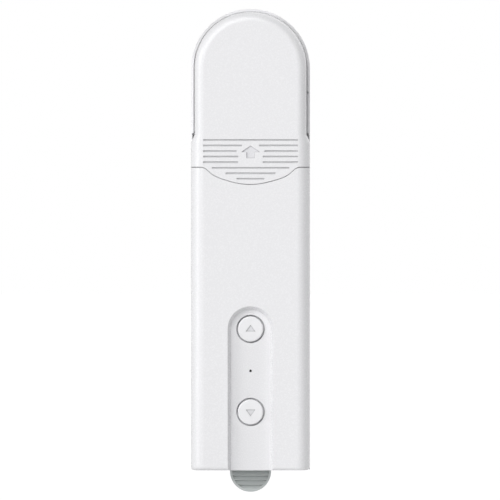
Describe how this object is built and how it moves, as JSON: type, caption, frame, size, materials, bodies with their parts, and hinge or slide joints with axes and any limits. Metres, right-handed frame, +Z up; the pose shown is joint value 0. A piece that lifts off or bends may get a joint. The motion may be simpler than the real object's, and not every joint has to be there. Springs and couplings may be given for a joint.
{
  "type": "roller shade motor",
  "caption": "Slim battery motor for a bead-chain roller shade, on a wall bracket, with a sliding top cover, two push buttons and a release tab.",
  "frame": {"origin": "centre of the adhesive pad's wall face, on the wall plane", "axes": "+Z up along the unit's length, -Y out of the wall towards the viewer, +X to the viewer's right"},
  "size_m": [0.0484, 0.0358, 0.1972],
  "materials": {
    "shell_plastic": "fine moulded texture, satin",
    "tab_plastic": "moulded, satin",
    "bracket_plastic": "moulded, matt",
    "gear_plastic": "moulded, low sheen",
    "steel": "ground",
    "brass": "turned",
    "motor_steel": "plated sheet",
    "dark_plastic": "moulded",
    "board": "solder mask",
    "shield_metal": "tinned",
    "cell_wrap": "shrink sleeve",
    "foam_tape": "closed-cell foam",
    "clear_plastic": "clear, polished",
    "led": "clear resin"
  },
  "bodies": {
    "bracket": {"adhesive_pad": "foam_tape", "wall_bracket": "bracket_plastic"},
    "unit": {"rear_shell": "shell_plastic", "front_shell": "shell_plastic", "light_guide": "clear_plastic", "status_led": "led", "main_board": "board", "tact_switches": "dark_plastic", "radio_shield": "shield_metal", "board_chips": "dark_plastic", "usb_socket": "steel", "battery_cells": "cell_wrap", "motor_can": "motor_steel", "motor_end_cap": "dark_plastic", "motor_screws": "steel", "shaft_bushes": "brass", "gear_axles": "steel", "gearbox_housing": "gear_plastic", "gearbox_lid": "gear_plastic", "lid_screws": "steel", "chassis_screws": "steel", "case_screws": "steel", "board_screws": "steel", "lever_pin": "steel", "lever_spring": "steel"},
    "cover": {"cover": "shell_plastic"},
    "up_button": {"up_button": "shell_plastic"},
    "down_button": {"down_button": "shell_plastic"},
    "chain_wheel": {"sprocket": "gear_plastic", "sprocket_screw": "steel", "output_gear": "gear_plastic", "output_shaft": "steel", "encoder_magnet": "steel"},
    "middle_gear": {"reduction_gear": "gear_plastic"},
    "worm_gear": {"worm_wheel_gear": "gear_plastic"},
    "motor_rotor": {"motor_shaft": "steel", "worm": "brass"},
    "lever": {"release_lever": "tab_plastic", "ratchet_pawl": "tab_plastic"}
  },
  "joints": [
    {"name": "tension_slide", "type": "slide", "parent": "bracket", "child": "unit", "axis": [0, 0, 1], "range_m": [-0.018, 0.094], "deforming": ["ratchet_pawl"]},
    {"name": "cover_slide", "type": "slide", "parent": "unit", "child": "cover", "axis": [0, 0, 1], "range_m": [0, 0.075]},
    {"name": "up_button_press", "type": "slide", "parent": "unit", "child": "up_button", "axis": [0, 1, 0], "range_m": [0, 0.0007], "stiffness_N_per_m": 2000},
    {"name": "down_button_press", "type": "slide", "parent": "unit", "child": "down_button", "axis": [0, 1, 0], "range_m": [0, 0.0007], "stiffness_N_per_m": 2000},
    {"name": "sprocket_spin", "type": "hinge", "parent": "unit", "child": "chain_wheel", "pos_m": [0, -0.0279, 0.1166], "axis": [0, 1, 0], "continuous": true},
    {"name": "middle_gear_spin", "type": "hinge", "parent": "unit", "child": "middle_gear", "pos_m": [-0.005, -0.015, 0.09724], "axis": [0, 1, 0], "continuous": true},
    {"name": "worm_gear_spin", "type": "hinge", "parent": "unit", "child": "worm_gear", "pos_m": [0.005, -0.017, 0.08374], "axis": [0, 1, 0], "continuous": true},
    {"name": "motor_spin", "type": "hinge", "parent": "unit", "child": "motor_rotor", "pos_m": [-0.008, -0.0205, 0.08374], "axis": [0, 0, 1], "continuous": true},
    {"name": "lever_release", "type": "hinge", "parent": "unit", "child": "lever", "pos_m": [0, -0.009, -0.0385], "axis": [1, 0, 0], "range_deg": [0, 8], "stiffness_Nm_per_rad": 0.3, "springref_deg": -5.73, "deforming": ["lever_spring"]}
  ],
  "couplings": [
    {"joint": "middle_gear_spin", "follows": "sprocket_spin", "ratio": -3},
    {"joint": "worm_gear_spin", "follows": "sprocket_spin", "ratio": 9.6},
    {"joint": "motor_spin", "follows": "sprocket_spin", "ratio": -288}
  ]
}
